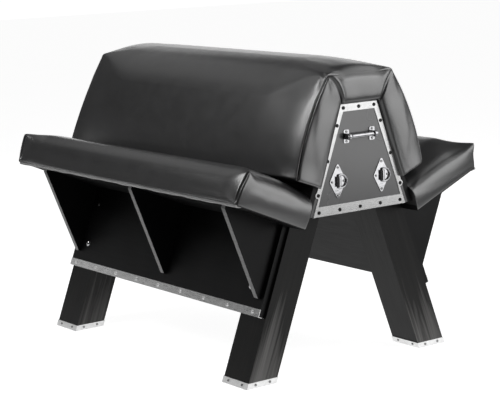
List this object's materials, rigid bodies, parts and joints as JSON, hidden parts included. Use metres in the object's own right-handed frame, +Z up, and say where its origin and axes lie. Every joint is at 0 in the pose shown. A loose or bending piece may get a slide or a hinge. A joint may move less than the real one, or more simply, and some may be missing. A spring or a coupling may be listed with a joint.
{
  "type": "padded trestle bench",
  "caption": "Saddle-shaped padded bench on splayed square legs, with a padded shelf down each side, metal-edged end panels, folding lashing rings and a bar handle at each end.",
  "frame": {"origin": "on the floor, under the middle of the bench", "axes": "+X along the bench towards its front end, +Y to its left, +Z up"},
  "size_m": [1.033, 0.794, 0.7869],
  "materials": {
    "pad_cover": "satin",
    "leg_wood": "satin",
    "black_board": "satin",
    "end_panel": "gloss",
    "trim_metal": "satin",
    "hardware": "polished",
    "screw": "satin",
    "bolt": "satin"
  },
  "bodies": {
    "frame": {"box_floor": "black_board", "box_screws": "bolt", "foot_cap_front_left": "trim_metal", "foot_cap_front_right": "trim_metal", "foot_cap_rear_left": "trim_metal", "foot_cap_rear_right": "trim_metal", "foot_cap_screws": "screw", "front_handle_brackets": "hardware", "front_panel": "end_panel", "front_trim_bottom": "trim_metal", "front_trim_left": "trim_metal", "front_trim_right": "trim_metal", "front_trim_top": "trim_metal", "gusset_front_left": "black_board", "gusset_front_right": "black_board", "gusset_middle_left": "black_board", "gusset_middle_right": "black_board", "gusset_rear_left": "black_board", "gusset_rear_right": "black_board", "handle_screws": "screw", "leg_front_left": "leg_wood", "leg_front_right": "leg_wood", "leg_rear_left": "leg_wood", "leg_rear_right": "leg_wood", "lower_leg_bolts": "hardware", "middle_rib": "black_board", "rear_handle_brackets": "hardware", "rear_panel": "end_panel", "rear_trim_bottom": "trim_metal", "rear_trim_left": "trim_metal", "rear_trim_right": "trim_metal", "rear_trim_top": "trim_metal", "ring_plate_front_left": "hardware", "ring_plate_front_right": "hardware", "ring_plate_rear_left": "hardware", "ring_plate_rear_right": "hardware", "ring_plate_screws": "screw", "saddle_pad": "pad_cover", "shelf_board_left": "black_board", "shelf_board_right": "black_board", "shelf_pad_left": "pad_cover", "shelf_pad_right": "pad_cover", "side_board_left": "black_board", "side_board_right": "black_board", "skirt_left": "black_board", "skirt_right": "black_board", "skirt_trim_left": "trim_metal", "skirt_trim_right": "trim_metal", "skirt_trim_screws": "screw", "top_board": "black_board", "trim_screws": "screw", "upper_leg_bolts": "bolt"},
    "front_bar": {"front_handle_bar": "hardware"},
    "rear_bar": {"rear_handle_bar": "hardware"},
    "ring_front_left": {"d_ring_front_left": "hardware"},
    "ring_front_right": {"d_ring_front_right": "hardware"},
    "ring_rear_left": {"d_ring_rear_left": "hardware"},
    "ring_rear_right": {"d_ring_rear_right": "hardware"}
  },
  "joints": [
    {"name": "ring_swing_front_left", "type": "hinge", "parent": "frame", "child": "ring_front_left", "pos_m": [0.5006, 0.072, 0.491], "axis": [0, 0, 1], "range_deg": [-180, 0]},
    {"name": "ring_swing_front_right", "type": "hinge", "parent": "frame", "child": "ring_front_right", "pos_m": [0.5006, -0.072, 0.491], "axis": [0, 0, 1], "range_deg": [-180, 0]},
    {"name": "bar_turn_front", "type": "hinge", "parent": "frame", "child": "front_bar", "pos_m": [0.509, 0, 0.6], "axis": [0, 1, 0], "continuous": true},
    {"name": "ring_swing_rear_left", "type": "hinge", "parent": "frame", "child": "ring_rear_left", "pos_m": [-0.5006, 0.072, 0.491], "axis": [0, 0, 1], "range_deg": [-180, 0]},
    {"name": "ring_swing_rear_right", "type": "hinge", "parent": "frame", "child": "ring_rear_right", "pos_m": [-0.5006, -0.072, 0.491], "axis": [0, 0, 1], "range_deg": [-180, 0]},
    {"name": "bar_turn_rear", "type": "hinge", "parent": "frame", "child": "rear_bar", "pos_m": [-0.509, 0, 0.6], "axis": [0, 1, 0], "continuous": true}
  ]
}
